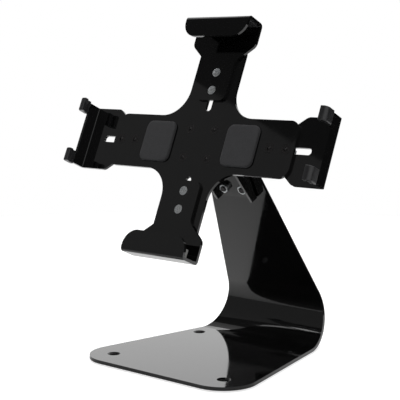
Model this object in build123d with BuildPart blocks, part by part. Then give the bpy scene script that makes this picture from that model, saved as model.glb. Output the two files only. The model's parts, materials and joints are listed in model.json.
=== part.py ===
from build123d import *
from math import cos, radians, sin
import os

os.makedirs("parts", exist_ok=True)

# A desk stand that clamps a flat device by its edges, in millimetres.
# X is to the right, Y to the back, Z up. The origin is on the desk, under the middle of the foot.

# Clearances
running_fit = 0.05  # radial, between a shaft and the bore that turns on it
thread_fit = 0.05  # radial, between a screw and its nut
seat_fit = 0.05  # radial, round a screw head in its recess
shank_clearance = 0.3  # radial, between a screw and its hole or slot
slide_gap = 0.1  # between sheets that slide on each other
side_play = 0.05  # at each end of the tilt barrel
overrun = 20.0  # how far a cut reaches past the solid

# The device that the stand is made for, and how it sits
device_width = 242.8
device_height = 189.7
device_depth = 13.4
device_rise = 2.5  # its centre above the swivel axis
back_clearance = 0.3
front_clearance = 1.6
edge_clearance = 0.3

# Foot and upright, one bent sheet that narrows towards the top
plate_thickness = 3.0
foot_depth = 144.0
foot_front_width = 178.4
foot_corner_radius = 29.0
bend_inner_radius = 28.8
upright_lean = 28.6  # degrees forward of vertical
upright_length = 140.0
upright_top_width = 48.8
upright_corner_radius = 10.0
plate_edge_chamfer = 0.5

# Desk fixing holes
desk_hole_radius = 3.3
desk_sink_radius = 5.7
sink_angle = 90  # of every countersink
front_hole_inset = 23.0  # from the front edge of the foot
front_hole_side_inset = 24.9  # from its side edge
rear_hole_inset = 16.0  # from the start of the bend
rear_hole_side_inset = 13.28

# Non-slip mat under the foot
mat_thickness = 1.2
mat_inset = 5.0
mat_hole_clearance = 2.0  # radial, round a desk screw

# Tilt bracket, a folded channel with two ears
bracket_sheet = 2.5
bracket_width = 40.0
bracket_bend_radius = 2.4
bracket_foot_length = 36.0
bracket_foot_height = 9.0
bracket_end_inset = 2.0  # from the top of the upright
ear_radius = 9.0
pivot_past_end = 12.4  # beyond the top of the upright
pivot_height = 12.0  # in front of its face
bracket_screw_spacing = 20.0
bracket_screw_pitch = 18.0
bracket_screw_inset = 8.0  # of the upper pair, from the bracket's end

# Tilt head
tilt_back = 24.24  # degrees from upright, at rest
barrel_radius = 8.5
neck_width = 24.0
flange_standoff = 10.0  # from the tilt axis to the rear of the flange
flange_thickness = 4.0
flange_radius = 22.0
flange_chamfer = 0.8
spindle_radius = 6.0
spindle_chamfer = 0.6
friction_washer_thickness = 1.0
swivel_play = 0.05  # on each side of the hub's floor

# Swivel hub
hub_radius = 25.0
hub_floor = 3.0
hub_chamfer = 1.0
hub_pocket_radius = 11.0
hub_pocket_depth = 3.4
spring_washer_thickness = 0.5
spring_washer_height = 0.8
spring_washer_radius = 9.8
swivel_nut_thickness = 2.2
swivel_nut_radius = 9.5
swivel_nut_slot_width = 3.0
swivel_nut_slot_depth = 2.0
swivel_nut_slot_count = 4
hub_screw_offset = 18.0  # from the swivel axis
hub_screw_hole_depth = 5.4
hub_screw_count = 4
hub_screw_turn = 45  # degrees, of the first screw

# Carrier, a cross-shaped sheet
carrier_sheet = 2.4
carrier_half_width = 96.0
carrier_half_height = 88.0
carrier_bar = 48.0
carrier_inner_radius = 24.0
carrier_outer_radius = 9.0
carrier_pad_width = 32.0
carrier_pad_height = 36.0
carrier_pad_place = 44.0
carrier_pad_radius = 6.0

# Folded arms
arm_sheet = 2.4
arm_bend_radius = 3.4  # outside
bend_land = 1.0  # straight stretch beside a bend
strap_width = 32.0
strap_end_radius = 6.0
shoulder_radius = 7.0

# Upper and lower arms
hook_width = 66.5
hook_drop = 18.7
hook_corner_radius = 13.5
hook_back_height = 20.0
hook_shoulder_height = 34.0
hook_strap_end = 69.0  # from the outer face to the inner end of the strap
outer_stud_inset = 44.0
stud_pitch = 16.0
stud_head_radius = 3.9
stud_head_height = 1.2
arm_slot_inner = 32.0  # stud positions at the ends of the slots
arm_slot_end = 10.0  # from the last stud position to the end of the carrier
cushion_height = 7.0
cushion_depth = 5.0
cushion_width = 62.0
liner_thickness = 1.5

# Side brackets
side_height = 56.8
side_hook_gap = 38.2
side_gap_radius = 1.5
side_wall_depth = 14.0  # from the rear face to the edge between the hooks
side_lip = 4.4
side_back_width = 30.0
side_shoulder_width = 46.0
side_strap_end = 78.0
side_edge_gap = 6.2  # between the device's edge and the wall
side_screw_inner = 72.0
side_screw_pitch = 16.0
side_travel_in = 20.0
side_travel_out = 10.0
side_liner_thickness = 1.2
side_liner_fit = 0.05  # clearance to the steel

# Small screws, nuts and washers
small_radius = 2.5
small_nut_flats = 8.0
small_nut_height = 4.0
small_washer_radius = 5.5
small_washer_thickness = 1.0
small_sink_radius = 4.5
small_head_radius = 4.75
small_head_height = 2.75
small_socket_flats = 3.0
small_socket_depth = 1.4
thread_end = 1.0  # how far a thread stands past its nut
nut_chamfer = 0.5
head_chamfer = 1.2

# Hub screws
hub_screw_radius = 2.0
hub_sink_radius = 4.0
hub_screw_length = 7.0
hub_socket_flats = 2.5
hub_socket_depth = 1.2

# Pivot bolt
pivot_radius = 4.0
pivot_head_radius = 7.0
pivot_head_height = 4.4
pivot_head_chamfer = 2.0
pivot_socket_flats = 5.0
pivot_socket_depth = 2.6
pivot_nut_flats = 13.0
pivot_nut_height = 6.5
pivot_washer_radius = 8.0
pivot_washer_thickness = 1.2

# Frame of the upright: X across, Y up along its front face, Z out of that face
bend_angle = 90 + upright_lean
bend_sin, bend_cos = sin(radians(bend_angle)), cos(radians(bend_angle))
foot_top = mat_thickness + plate_thickness
bend_centre = (foot_depth / 2, foot_top + bend_inner_radius)
upright = Plane(
    origin=(
        0,
        bend_centre[0] + bend_inner_radius * bend_sin,
        bend_centre[1] - bend_inner_radius * bend_cos,
    ),
    x_dir=(1, 0, 0),
    z_dir=(0, -bend_sin, bend_cos),
)
upright_side = Plane(origin=upright.origin, x_dir=upright.y_dir, z_dir=upright.x_dir)


def turned(plane, rotation):
    """A plane turned about its own axes, in degrees."""
    return Plane(plane.location * Location((0, 0, 0), rotation))


upright_back = turned(upright.offset(-plate_thickness), (180, 0, 0))

# Frame of the head, on the tilt axis: X across, Y up behind the device, Z to the front
pivot_along = upright_length + pivot_past_end
tilt_sin, tilt_cos = sin(radians(tilt_back)), cos(radians(tilt_back))
head = Plane(
    origin=upright.from_local_coords((0, pivot_along, pivot_height)),
    x_dir=(1, 0, 0),
    z_dir=(0, -tilt_cos, tilt_sin),
)
head_side = Plane(origin=head.origin, x_dir=head.y_dir, z_dir=head.x_dir)

# Layers in front of the tilt axis
flange_front = flange_standoff + flange_thickness
hub_rear = flange_front + friction_washer_thickness + swivel_play
hub_pocket_floor = hub_rear + hub_floor
carrier_rear = hub_pocket_floor + hub_pocket_depth
carrier_front = carrier_rear + carrier_sheet
arm_rear = carrier_front + slide_gap
arm_front = arm_rear + arm_sheet
side_front = carrier_rear - slide_gap
side_rear = side_front - arm_sheet
device_back = arm_front + back_clearance
device_front = device_back + device_depth
lip_rear = device_front + front_clearance
lip_front = lip_rear + arm_sheet

# Reach of the arms, from the swivel axis to their outer faces
hook_reach = device_height / 2 + edge_clearance + cushion_height + arm_sheet
arm_slot_outer = carrier_half_height - arm_slot_end
side_reach = device_width / 2 + edge_clearance + side_edge_gap + arm_sheet

# Width of the sheet, which narrows evenly along its developed length
bend_length = radians(bend_angle) * (bend_inner_radius + plate_thickness / 2)
developed_length = foot_depth + bend_length + upright_length


def sheet_width(along):
    return foot_front_width - (foot_front_width - upright_top_width) * along / developed_length


foot_rear_width = sheet_width(foot_depth)
upright_foot_width = sheet_width(foot_depth + bend_length)


def save(piece, name):
    piece.label = name
    export_step(piece, f"parts/{name}.step")


def side_of(frame):
    """The plane across a frame's X: its own X runs outward along the arm, its Y to the front."""
    return Plane(origin=frame.origin, x_dir=frame.y_dir, z_dir=frame.x_dir)


def hex_nut(flats, height, radius):
    with BuildPart() as nut:
        with BuildSketch():
            RegularPolygon(flats / 2, 6, major_radius=False)
        extrude(amount=height)
        chamfer(nut.edges().group_by(Axis.Z)[-1], nut_chamfer)
        with Locations((0, 0, height)):
            Hole(radius + thread_fit)
    return nut.part


def washer(outer, inner, thickness):
    with BuildPart() as ring:
        with BuildSketch():
            Circle(outer)
            Circle(inner, mode=Mode.SUBTRACT)
        extrude(amount=thickness)
    return ring.part


def button_screw(radius, length, head, height, bevel, flats, socket_depth):
    """Low-headed screw that seats at its origin, with the shank below and a hexagon socket above."""
    with BuildPart() as screw:
        with BuildSketch():
            Circle(head)
        extrude(amount=height)
        chamfer(screw.edges().group_by(Axis.Z)[-1], bevel)
        with BuildSketch():
            Circle(radius)
        extrude(amount=-length)
        with BuildSketch(Plane.XY.offset(height)):
            RegularPolygon(flats / 2, 6, major_radius=False)
        extrude(amount=-socket_depth, mode=Mode.SUBTRACT)
    return screw.part


def flat_screw(radius, length, head, flats, socket_depth):
    """Countersunk screw with its flat top at the origin."""
    with BuildPart() as screw:
        with BuildSketch(Plane.XZ):
            with BuildLine():
                Polyline(
                    (0, 0), (head, 0), (radius, radius - head), (radius, -length), (0, -length), close=True
                )
            make_face()
        revolve(axis=Axis.Z)
        with BuildSketch():
            RegularPolygon(flats / 2, 6, major_radius=False)
        extrude(amount=-socket_depth, mode=Mode.SUBTRACT)
    return screw.part


small_nut = hex_nut(small_nut_flats, small_nut_height, small_radius)
small_washer = washer(small_washer_radius, small_radius + shank_clearance, small_washer_thickness)

# Outline of the foot, seen from above
with BuildSketch() as foot:
    with BuildLine():
        Polyline(
            (-foot_front_width / 2, -foot_depth / 2),
            (foot_front_width / 2, -foot_depth / 2),
            (foot_rear_width / 2, foot_depth / 2),
            (-foot_rear_width / 2, foot_depth / 2),
            close=True,
        )
    make_face()
    fillet(foot.vertices().group_by(Axis.Y)[0], foot_corner_radius)

desk_holes = [
    (side * (sheet_width(along) / 2 - side_inset), along - foot_depth / 2)
    for along, side_inset in (
        (front_hole_inset, front_hole_side_inset),
        (foot_depth - rear_hole_inset, rear_hole_side_inset),
    )
    for side in (-1, 1)
]

# Screws that hold the tilt bracket, as places on the upright
bracket_top = upright_length - bracket_end_inset
bracket_screw_y = bracket_top - bracket_screw_inset - bracket_screw_pitch / 2

# Foot, bend and upright
with BuildPart() as stand_plate:
    with BuildSketch(Plane.XY.offset(mat_thickness)):
        add(foot.sketch)
    extrude(amount=plate_thickness)
    with BuildLine(Plane.YZ) as spine:
        CenterArc(bend_centre, bend_inner_radius + plate_thickness / 2, -90, bend_angle)
    with BuildSketch(Plane(origin=spine.line @ 0, x_dir=(1, 0, 0), z_dir=spine.line % 0)):
        Rectangle(foot_rear_width, plate_thickness)
    with BuildSketch(Plane(origin=spine.line @ 1, x_dir=(1, 0, 0), z_dir=spine.line % 1)):
        Rectangle(upright_foot_width, plate_thickness)
    sweep(path=spine.line, multisection=True)
    with BuildSketch(upright.offset(-plate_thickness)) as blade:
        with BuildLine():
            Polyline(
                (-upright_foot_width / 2, 0),
                (upright_foot_width / 2, 0),
                (upright_top_width / 2, upright_length),
                (-upright_top_width / 2, upright_length),
                close=True,
            )
        make_face()
        fillet(blade.vertices().group_by(Axis.Y)[-1], upright_corner_radius)
    extrude(amount=plate_thickness)
    sheet_faces = stand_plate.faces().sort_by(SortBy.AREA)[-6:]
    rims = [edge for face in sheet_faces for edge in face.outer_wire().edges()]
    chamfer([edge for edge in rims if sum(edge.is_same(other) for other in rims) == 1], plate_edge_chamfer)
    with Locations(Plane.XY.offset(foot_top)):
        with Locations(*desk_holes):
            CounterSinkHole(desk_hole_radius, desk_sink_radius, plate_thickness + overrun, sink_angle)
    with Locations(upright):
        with Locations((0, bracket_screw_y)):
            with GridLocations(bracket_screw_spacing, bracket_screw_pitch, 2, 2):
                Hole(small_radius + shank_clearance, plate_thickness + overrun)
save(stand_plate.part, "stand_plate")

# Mat
with BuildPart() as base_mat:
    with BuildSketch():
        add(foot.sketch)
        offset(amount=-mat_inset)
        with Locations(*desk_holes):
            Circle(desk_hole_radius + mat_hole_clearance, mode=Mode.SUBTRACT)
    extrude(amount=mat_thickness)
save(base_mat.part, "base_mat")

# Tilt bracket
with BuildPart() as pivot_bracket:
    with BuildSketch(upright):
        with Locations((0, bracket_top)):
            Rectangle(bracket_width, bracket_foot_length, align=(Align.CENTER, Align.MAX))
    extrude(amount=bracket_sheet)
    for ear_rear in (-bracket_width / 2, bracket_width / 2 - bracket_sheet):
        with BuildSketch(upright_side.offset(ear_rear)):
            with Locations((pivot_along, pivot_height)):
                Circle(ear_radius)
            with Locations((bracket_top, 0)):
                Rectangle(bracket_foot_length, bracket_foot_height, align=(Align.MAX, Align.MIN))
            make_hull()
        extrude(amount=bracket_sheet)
    long_edges = pivot_bracket.edges().filter_by(Axis(origin=(0, 0, 0), direction=upright.y_dir))
    rear_edges = long_edges.group_by(Axis(origin=upright.origin, direction=upright.z_dir))[0]
    fillet(rear_edges.sort_by(Axis.X)[0], bracket_bend_radius)
    fillet(rear_edges.sort_by(Axis.X)[-1], bracket_bend_radius)
    with Locations(upright.offset(bracket_sheet)):
        with Locations((0, bracket_screw_y)):
            with GridLocations(bracket_screw_spacing, bracket_screw_pitch, 2, 2):
                Hole(small_radius + shank_clearance, bracket_sheet + overrun)
    with Locations(head_side.offset(bracket_width / 2)):
        Hole(pivot_radius + running_fit, bracket_width + overrun)
save(pivot_bracket.part, "pivot_bracket")

bracket_stack = plate_thickness + bracket_sheet
bracket_screw = button_screw(
    small_radius,
    bracket_stack + small_nut_height + thread_end,
    small_head_radius,
    small_head_height,
    head_chamfer,
    small_socket_flats,
    small_socket_depth,
)
with BuildPart() as bracket_screws:
    with Locations(upright_back):
        with Locations((0, -bracket_screw_y)):
            with GridLocations(bracket_screw_spacing, bracket_screw_pitch, 2, 2):
                add(bracket_screw)
save(bracket_screws.part, "bracket_screws")

with BuildPart() as bracket_nuts:
    with Locations(upright.offset(bracket_sheet)):
        with Locations((0, bracket_screw_y)):
            with GridLocations(bracket_screw_spacing, bracket_screw_pitch, 2, 2):
                add(small_nut)
save(bracket_nuts.part, "bracket_nuts")

# Pivot bolt, which runs along X through the ears and the barrel
pivot_washer = washer(pivot_washer_radius, pivot_radius + running_fit, pivot_washer_thickness)
with BuildPart() as pivot_washers:
    with Locations(head_side.offset(bracket_width / 2)):
        add(pivot_washer)
    with Locations(head_side.offset(-bracket_width / 2 - pivot_washer_thickness)):
        add(pivot_washer)
save(pivot_washers.part, "pivot_washers")

pivot_grip = bracket_width + 2 * pivot_washer_thickness
pivot_screw = button_screw(
    pivot_radius,
    pivot_grip + pivot_nut_height + thread_end,
    pivot_head_radius,
    pivot_head_height,
    pivot_head_chamfer,
    pivot_socket_flats,
    pivot_socket_depth,
)
with BuildPart() as pivot_bolt:
    with Locations(head_side.offset(pivot_grip / 2)):
        add(pivot_screw)
save(pivot_bolt.part, "pivot_bolt")

lock_nut = hex_nut(pivot_nut_flats, pivot_nut_height, pivot_radius)
with BuildPart() as pivot_nut:
    with Locations(turned(head_side.offset(-pivot_grip / 2), (0, 180, 0))):
        add(lock_nut)
save(pivot_nut.part, "pivot_nut")

# Tilt knuckle: a cross barrel, a neck, a flange and the swivel spindle in one casting
ear_space = bracket_width - 2 * bracket_sheet
barrel_length = ear_space - 2 * (friction_washer_thickness + side_play)
spring_seat = hub_pocket_floor + swivel_play
swivel_nut_rear = spring_seat + spring_washer_height
spindle_end = swivel_nut_rear + swivel_nut_thickness
with BuildPart() as tilt_knuckle:
    with BuildSketch(head_side):
        Circle(barrel_radius)
    extrude(amount=barrel_length / 2, both=True)
    with BuildSketch(head):
        Rectangle(neck_width, 2 * barrel_radius)
    extrude(amount=flange_front)
    with BuildSketch(head.offset(flange_standoff)):
        Circle(flange_radius)
    extrude(amount=flange_thickness)
    chamfer(tilt_knuckle.edges().filter_by(GeomType.CIRCLE).sort_by(SortBy.RADIUS)[-2:], flange_chamfer)
    with BuildSketch(head.offset(flange_front)):
        Circle(spindle_radius)
    extrude(amount=spindle_end - flange_front)
    spindle_rim = tilt_knuckle.edges().sort_by(Axis(origin=head.origin, direction=head.z_dir))[-1]
    chamfer(spindle_rim, spindle_chamfer)
    with Locations(head_side.offset(barrel_length / 2)):
        Hole(pivot_radius + running_fit, barrel_length + overrun)
save(tilt_knuckle.part, "tilt_knuckle")

barrel_washer = washer(barrel_radius, pivot_radius + shank_clearance, friction_washer_thickness)
with BuildPart() as knuckle_washers:
    with Locations(head_side.offset(barrel_length / 2)):
        add(barrel_washer)
    with Locations(head_side.offset(-barrel_length / 2 - friction_washer_thickness)):
        add(barrel_washer)
save(knuckle_washers.part, "knuckle_washers")

with BuildPart() as swivel_washer:
    with Locations(head.offset(flange_front)):
        add(washer(flange_radius, spindle_radius + shank_clearance, friction_washer_thickness))
save(swivel_washer.part, "swivel_washer")

# Disc spring, whose outer rim bears on the hub and whose inner rim bears on the nut
swivel_bore = spindle_radius + thread_fit
with BuildPart() as disc_spring:
    with BuildSketch(Plane.XZ):
        with BuildLine():
            Polyline(
                (spring_washer_radius, 0),
                (spring_washer_radius, spring_washer_thickness),
                (swivel_bore, spring_washer_height),
                (swivel_bore, spring_washer_height - spring_washer_thickness),
                close=True,
            )
        make_face()
    revolve(axis=Axis.Z)

with BuildPart() as swivel_spring:
    with Locations(head.offset(spring_seat)):
        add(disc_spring.part)
save(swivel_spring.part, "swivel_spring")

with BuildPart() as swivel_nut:
    with BuildSketch(head.offset(swivel_nut_rear)):
        Circle(swivel_nut_radius)
        Circle(swivel_bore, mode=Mode.SUBTRACT)
        with PolarLocations(swivel_nut_radius, swivel_nut_slot_count):
            Rectangle(2 * swivel_nut_slot_depth, swivel_nut_slot_width, mode=Mode.SUBTRACT)
    extrude(amount=swivel_nut_thickness)
save(swivel_nut.part, "swivel_nut")

# Swivel hub, a shallow cup that turns on the spindle and is closed by the carrier
with BuildPart() as swivel_hub:
    with BuildSketch(head.offset(hub_rear)):
        Circle(hub_radius)
    extrude(amount=hub_floor + hub_pocket_depth)
    chamfer(swivel_hub.edges().sort_by(Axis(origin=head.origin, direction=head.z_dir))[0], hub_chamfer)
    with Locations(head.offset(carrier_rear)):
        CounterBoreHole(spindle_radius + running_fit, hub_pocket_radius, hub_pocket_depth, hub_radius)
        with PolarLocations(hub_screw_offset, hub_screw_count, start_angle=hub_screw_turn):
            Hole(hub_screw_radius + thread_fit, hub_screw_hole_depth)
save(swivel_hub.part, "swivel_hub")

# Carrier, with a slot for each pair of arm studs and a hole for each side screw
side_screw_places = [
    (side * (side_screw_inner + step * side_screw_pitch), 0) for side in (-1, 1) for step in (0, 1)
]
slot_width = 2 * (small_radius + shank_clearance)
carrier_cut = carrier_sheet + overrun
with BuildPart() as carrier_plate:
    with BuildSketch(head.offset(carrier_rear)) as cross:
        Rectangle(2 * carrier_half_width, carrier_bar)
        Rectangle(carrier_bar, 2 * carrier_half_height)
        fillet(cross.vertices().sort_by(SortBy.DISTANCE)[:4], carrier_inner_radius)
        fillet(cross.vertices().sort_by(SortBy.DISTANCE)[-8:], carrier_outer_radius)
        for side in (-1, 1):
            with Locations((0, side * (arm_slot_inner + arm_slot_outer) / 2)):
                SlotCenterToCenter(arm_slot_outer - arm_slot_inner, slot_width, 90, mode=Mode.SUBTRACT)
    extrude(amount=carrier_sheet)
    with Locations(head.offset(carrier_front)):
        with Locations(*side_screw_places):
            CounterSinkHole(small_radius + seat_fit, small_sink_radius + seat_fit, carrier_cut, sink_angle)
        with PolarLocations(hub_screw_offset, hub_screw_count, start_angle=hub_screw_turn):
            CounterSinkHole(hub_screw_radius + seat_fit, hub_sink_radius + seat_fit, carrier_cut, sink_angle)
save(carrier_plate.part, "carrier_plate")

hub_screw = flat_screw(
    hub_screw_radius,
    hub_screw_length,
    hub_sink_radius,
    hub_socket_flats,
    hub_socket_depth,
)
with BuildPart() as hub_screws:
    with Locations(head.offset(carrier_front)):
        with PolarLocations(hub_screw_offset, hub_screw_count, start_angle=hub_screw_turn):
            add(hub_screw)
save(hub_screws.part, "hub_screws")

# Foam pads behind the device
with BuildPart() as carrier_pads:
    with BuildSketch(head.offset(carrier_front)) as pads:
        with Locations((-carrier_pad_place, 0), (carrier_pad_place, 0)):
            RectangleRounded(carrier_pad_width, carrier_pad_height, carrier_pad_radius)
    extrude(amount=arm_front - carrier_front)
save(carrier_pads.part, "carrier_pads")

# Screws that clamp the side brackets behind the carrier
side_washer_rear = side_rear - small_washer_thickness
side_nut_rear = side_washer_rear - small_nut_height
side_screw = flat_screw(
    small_radius,
    carrier_front - side_nut_rear + thread_end,
    small_sink_radius,
    small_socket_flats,
    small_socket_depth,
)
with BuildPart() as side_clamp_screws:
    with Locations(head.offset(carrier_front)):
        with Locations(*side_screw_places):
            add(side_screw)
save(side_clamp_screws.part, "side_clamp_screws")

with BuildPart() as side_clamp_washers:
    with Locations(head.offset(side_washer_rear)):
        with Locations(*side_screw_places):
            add(small_washer)
save(side_clamp_washers.part, "side_clamp_washers")

with BuildPart() as side_clamp_nuts:
    with Locations(turned(head.offset(side_washer_rear), (0, 180, 0))):
        with Locations(*side_screw_places):
            add(small_nut)
save(side_clamp_nuts.part, "side_clamp_nuts")

# Upper and lower arms, one folded sheet each with two studs that pass back through the carrier
arm_washer_rear = carrier_rear - small_washer_thickness
arm_nut_rear = arm_washer_rear - small_nut_height
stud_length = arm_front - arm_nut_rear + thread_end


def stud_places(reach):
    return [(0, reach - outer_stud_inset), (0, reach - outer_stud_inset - stud_pitch)]


def hook_arm(frame, reach):
    """Strap behind the device, wall over its edge, and a round-cornered lip in front."""
    shoulder = reach - arm_bend_radius - bend_land
    with BuildPart() as arm:
        with BuildSketch(side_of(frame)):
            with BuildLine():
                FilletPolyline(
                    (shoulder, arm_rear),
                    (reach, arm_rear),
                    (reach, lip_front),
                    (shoulder, lip_front),
                    radius=arm_bend_radius,
                )
                offset(amount=arm_sheet, side=Side.LEFT)
            make_face()
        extrude(amount=hook_width / 2, both=True)
        with BuildSketch(frame.offset(arm_rear)) as back:
            with BuildLine():
                Polyline(
                    (0, shoulder),
                    (hook_width / 2, shoulder),
                    (hook_width / 2, reach - hook_back_height),
                    (strap_width / 2, reach - hook_shoulder_height),
                    (strap_width / 2, reach - hook_strap_end),
                    (0, reach - hook_strap_end),
                )
                mirror(about=Plane.YZ)
            make_face()
            fillet(back.vertices().group_by(Axis.Y)[0], strap_end_radius)
            shoulders = back.vertices().filter_by_position(
                Axis.Y, reach - hook_shoulder_height, reach - hook_back_height
            )
            fillet(shoulders, shoulder_radius)
        extrude(amount=arm_sheet)
        with BuildSketch(frame.offset(lip_rear)) as lip:
            with Locations((0, shoulder)):
                Rectangle(hook_width, hook_drop - reach + shoulder, align=(Align.CENTER, Align.MAX))
            fillet(lip.vertices().group_by(Axis.Y)[0], hook_corner_radius)
        extrude(amount=arm_sheet)
        with Locations(frame.offset(arm_front)):
            with Locations(*stud_places(reach)):
                CounterBoreHole(
                    small_radius + seat_fit,
                    stud_head_radius + seat_fit,
                    stud_head_height,
                    arm_sheet + overrun,
                )
    return arm.part


def arm_studs(frame, reach):
    """Press-in studs whose heads lie flush in the front of the strap."""
    with BuildPart() as studs:
        with BuildSketch(frame.offset(arm_front)):
            with Locations(*stud_places(reach)):
                Circle(stud_head_radius)
        extrude(amount=-stud_head_height)
        with BuildSketch(frame.offset(arm_front)):
            with Locations(*stud_places(reach)):
                Circle(small_radius)
        extrude(amount=-stud_length)
    return studs.part


def arm_washers(frame, reach):
    with BuildPart() as washers:
        with Locations(frame.offset(arm_washer_rear)):
            with Locations(*stud_places(reach)):
                add(small_washer)
    return washers.part


def arm_nuts(frame, reach):
    with BuildPart() as nuts:
        with Locations(frame.offset(arm_nut_rear)):
            with Locations(*stud_places(reach)):
                add(small_nut)
    return nuts.part


upper = head
lower = turned(head, (0, 0, 180))
for name, frame, reach in (
    ("top", upper, hook_reach + device_rise),
    ("bottom", lower, hook_reach - device_rise),
):
    save(hook_arm(frame, reach), f"{name}_arm")
    save(arm_studs(frame, reach), f"{name}_studs")
    save(arm_washers(frame, reach), f"{name}_washers")
    save(arm_nuts(frame, reach), f"{name}_nuts")

# Rubber cushion in the front corner of the lower hook, where the device stands
lower_floor = hook_reach - device_rise - arm_sheet
inner_bend_radius = arm_bend_radius - arm_sheet
with BuildPart() as bottom_cushion:
    with BuildSketch(side_of(lower)) as strip:
        with Locations((lower_floor, lip_rear)):
            Rectangle(cushion_height, cushion_depth, align=(Align.MAX, Align.MAX))
        fillet(strip.vertices().sort_by(Axis.X)[-2:].sort_by(Axis.Y)[-1], inner_bend_radius + slide_gap)
    extrude(amount=cushion_width / 2, both=True)
save(bottom_cushion.part, "bottom_cushion")

# Thin liner under the wall of the upper hook
with BuildPart() as top_liner:
    with BuildSketch(side_of(upper)):
        with Locations((hook_reach + device_rise - arm_sheet, (device_back + device_front) / 2)):
            Rectangle(
                liner_thickness, device_depth - 2 * inner_bend_radius, align=(Align.MAX, Align.CENTER)
            )
    extrude(amount=cushion_width / 2, both=True)
save(top_liner.part, "top_liner")

# Side brackets
side_screw_outer = side_screw_inner + side_screw_pitch
side_slot_inner = side_screw_inner - side_travel_out
side_slot_outer = side_screw_outer + side_travel_in


def side_bracket(frame):
    """Strap and upright wall folded from one sheet, with a hook at each end of the wall."""
    shoulder = side_reach - arm_bend_radius - bend_land
    with BuildPart() as bracket:
        with BuildSketch(side_of(frame)):
            with BuildLine():
                FilletPolyline(
                    (shoulder, side_rear),
                    (side_reach, side_rear),
                    (side_reach, lip_front),
                    (side_reach - side_lip, lip_front),
                    radius=arm_bend_radius,
                )
                offset(amount=arm_sheet, side=Side.LEFT)
            make_face()
        extrude(amount=side_height / 2, both=True)
        outward = Plane(origin=frame.origin, x_dir=-frame.x_dir, z_dir=frame.y_dir)
        with BuildSketch(outward) as gap:
            with Locations((0, side_rear + side_wall_depth)):
                Rectangle(side_hook_gap, overrun, align=(Align.CENTER, Align.MIN))
            fillet(gap.vertices().group_by(Axis.Y)[0], side_gap_radius)
        extrude(amount=side_reach + overrun, mode=Mode.SUBTRACT)
        with BuildSketch(frame.offset(side_rear)) as back:
            with BuildLine():
                Polyline(
                    (0, shoulder),
                    (side_height / 2, shoulder),
                    (side_height / 2, side_reach - side_back_width),
                    (strap_width / 2, side_reach - side_shoulder_width),
                    (strap_width / 2, side_reach - side_strap_end),
                    (0, side_reach - side_strap_end),
                )
                mirror(about=Plane.YZ)
            make_face()
            fillet(back.vertices().group_by(Axis.Y)[0], strap_end_radius)
            shoulders = back.vertices().filter_by_position(
                Axis.Y, side_reach - side_shoulder_width, side_reach - side_back_width
            )
            fillet(shoulders, shoulder_radius)
            with Locations((0, (side_slot_inner + side_slot_outer) / 2)):
                SlotCenterToCenter(side_slot_outer - side_slot_inner, slot_width, 90, mode=Mode.SUBTRACT)
        extrude(amount=arm_sheet)
    return bracket.part


def side_liners(frame):
    """A rubber sleeve over each hook, closed at its end and open towards the wall."""
    sleeve_root = side_rear + side_wall_depth + side_gap_radius
    hook_middle = (side_height + side_hook_gap) / 4
    hook_height = (side_height - side_hook_gap) / 2
    with BuildPart() as liners:
        for place in (-hook_middle, hook_middle):
            for grow, mode in ((side_liner_thickness, Mode.ADD), (side_liner_fit, Mode.SUBTRACT)):
                with BuildSketch(side_of(frame).offset(place)):
                    with BuildLine():
                        FilletPolyline(
                            (side_reach, sleeve_root),
                            (side_reach, lip_front),
                            (side_reach - side_lip, lip_front),
                            radius=arm_bend_radius,
                        )
                        offset(amount=arm_sheet, side=Side.LEFT)
                    make_face()
                    offset(amount=grow)
                    with Locations((side_reach, sleeve_root)):
                        Rectangle(overrun, 2 * grow, align=(Align.CENTER, Align.MAX), mode=Mode.SUBTRACT)
                extrude(amount=hook_height / 2 + grow, both=True, mode=mode)
    return liners.part


for name, frame in (("left", turned(head, (0, 0, 90))), ("right", turned(head, (0, 0, -90)))):
    save(side_bracket(frame), f"{name}_bracket")
    save(side_liners(frame), f"{name}_liners")
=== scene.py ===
"""Dressed model and studio of a desk stand that clamps a flat device by its edges."""
import json
from math import atan2, ceil, cos, degrees, hypot, pi, radians, sin, sqrt, tan

import bmesh
import bpy
from mathutils import Matrix, Vector
from mathutils.geometry import convex_hull_2d
from mathutils.noise import noise


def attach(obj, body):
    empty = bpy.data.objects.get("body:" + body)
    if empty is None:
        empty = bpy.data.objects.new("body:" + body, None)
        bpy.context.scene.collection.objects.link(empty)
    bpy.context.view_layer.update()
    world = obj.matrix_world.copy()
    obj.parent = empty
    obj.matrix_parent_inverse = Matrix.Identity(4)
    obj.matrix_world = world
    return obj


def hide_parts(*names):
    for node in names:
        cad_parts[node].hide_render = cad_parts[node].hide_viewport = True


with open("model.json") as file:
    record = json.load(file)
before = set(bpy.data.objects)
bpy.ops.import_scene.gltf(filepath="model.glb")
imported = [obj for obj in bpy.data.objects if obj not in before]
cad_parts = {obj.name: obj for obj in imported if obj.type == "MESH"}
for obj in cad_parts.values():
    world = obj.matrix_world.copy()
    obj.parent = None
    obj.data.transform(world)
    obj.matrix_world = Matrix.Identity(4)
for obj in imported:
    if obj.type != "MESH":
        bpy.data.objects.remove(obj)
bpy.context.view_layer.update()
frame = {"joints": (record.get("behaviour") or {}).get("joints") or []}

# Sizes are in millimetres, and MM turns them into the frame's metres.
MM = 0.001

# Foot and upright
plate_thickness = 3.0
mat_thickness = 1.2
foot_depth = 144.0
foot_front_width = 178.4
foot_corner_radius = 29.0
bend_radius = 30.3  # of the middle of the sheet
bend_angle = 118.6
upright_length = 140.0
upright_top_width = 48.8
upright_corner_radius = 10.0
desk_hole_radius = 3.3
desk_sink_radius = 5.7
front_hole_inset = 23.0
front_hole_side_inset = 24.9
rear_hole_inset = 16.0
rear_hole_side_inset = 13.28
mat_inset = 5.0
mat_hole_radius = 5.3

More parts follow.
